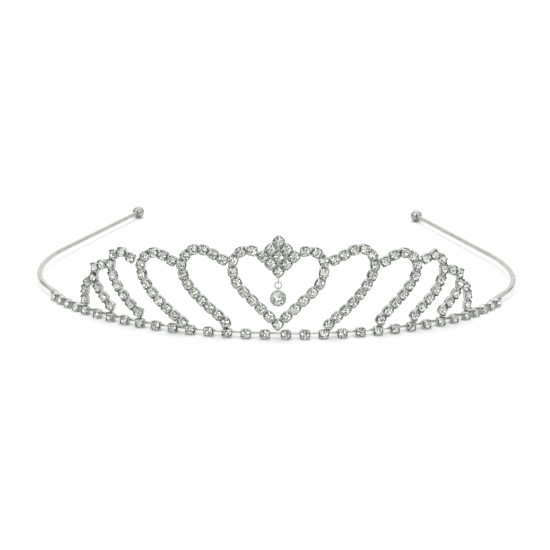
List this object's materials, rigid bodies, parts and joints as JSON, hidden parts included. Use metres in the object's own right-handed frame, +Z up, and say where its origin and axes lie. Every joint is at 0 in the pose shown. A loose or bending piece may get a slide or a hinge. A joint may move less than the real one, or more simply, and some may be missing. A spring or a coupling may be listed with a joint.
{
  "type": "bridal tiara",
  "caption": "Open-ended wire headband tiara with a front row of stone cups, linked-cup scrolls, a heart, a lozenge cluster and a small swinging drop.",
  "frame": {"origin": "middle of the footprint, on the surface the tiara stands on", "axes": "+Z up, -Y the front with the heart, +Y the open ends of the band, +X the wearer's left"},
  "size_m": [0.1418, 0.1406, 0.0266],
  "materials": {
    "silver_plate": "bright silver-plated wire",
    "stones_in_cups": "bright plated cups, each holding a clear faceted glass stone",
    "crystal": "clear faceted glass with a mirror backing"
  },
  "bodies": {
    "band": {"base_wire": "silver_plate", "arm_wire_left": "silver_plate", "arm_wire_right": "silver_plate", "ball_tip_left": "silver_plate", "ball_tip_right": "silver_plate", "base_cup_left_01": "stones_in_cups", "base_cup_left_02": "stones_in_cups", "base_cup_left_03": "stones_in_cups", "base_cup_left_04": "stones_in_cups", "base_cup_left_05": "stones_in_cups", "base_cup_left_06": "stones_in_cups", "base_cup_left_07": "stones_in_cups", "base_cup_left_08": "stones_in_cups", "base_cup_left_09": "stones_in_cups", "base_cup_left_10": "stones_in_cups", "base_cup_left_11": "stones_in_cups", "base_cup_left_12": "stones_in_cups", "base_cup_left_13": "stones_in_cups", "base_cup_left_14": "stones_in_cups", "base_cup_left_15": "stones_in_cups", "base_cup_left_16": "stones_in_cups", "base_cup_right_01": "stones_in_cups", "base_cup_right_02": "stones_in_cups", "base_cup_right_03": "stones_in_cups", "base_cup_right_04": "stones_in_cups", "base_cup_right_05": "stones_in_cups", "base_cup_right_06": "stones_in_cups", "base_cup_right_07": "stones_in_cups", "base_cup_right_08": "stones_in_cups", "base_cup_right_09": "stones_in_cups", "base_cup_right_10": "stones_in_cups", "base_cup_right_11": "stones_in_cups", "base_cup_right_12": "stones_in_cups", "base_cup_right_13": "stones_in_cups", "base_cup_right_14": "stones_in_cups", "base_cup_right_15": "stones_in_cups", "base_cup_right_16": "stones_in_cups", "lozenge_strip_upper": "stones_in_cups", "lozenge_strip_middle": "stones_in_cups", "lozenge_strip_lower": "stones_in_cups", "heart_tip_cup": "stones_in_cups", "heart_strand_left": "stones_in_cups", "heart_strand_right": "stones_in_cups", "scroll_1_left": "stones_in_cups", "scroll_1_right": "stones_in_cups", "scroll_2_left": "stones_in_cups", "scroll_2_right": "stones_in_cups", "scroll_3_left": "stones_in_cups", "scroll_3_right": "stones_in_cups", "scroll_4_left": "stones_in_cups", "scroll_4_right": "stones_in_cups", "scroll_5_left": "stones_in_cups", "scroll_5_right": "stones_in_cups", "lozenge_eyelet": "silver_plate"},
    "jump_ring": {"jump_ring": "silver_plate"},
    "drop": {"drop_cup": "silver_plate", "drop_stone": "crystal"}
  },
  "joints": [
    {"name": "ring_swing", "type": "hinge", "parent": "band", "child": "jump_ring", "pos_m": [0.00055, -0.06922, 0.01497], "axis": [1, 0, 0], "range_deg": [-75, 75]},
    {"name": "drop_swing", "type": "hinge", "parent": "jump_ring", "child": "drop", "pos_m": [0.00055, -0.06922, 0.01413], "axis": [0, 1, 0], "range_deg": [-70, 70]}
  ]
}
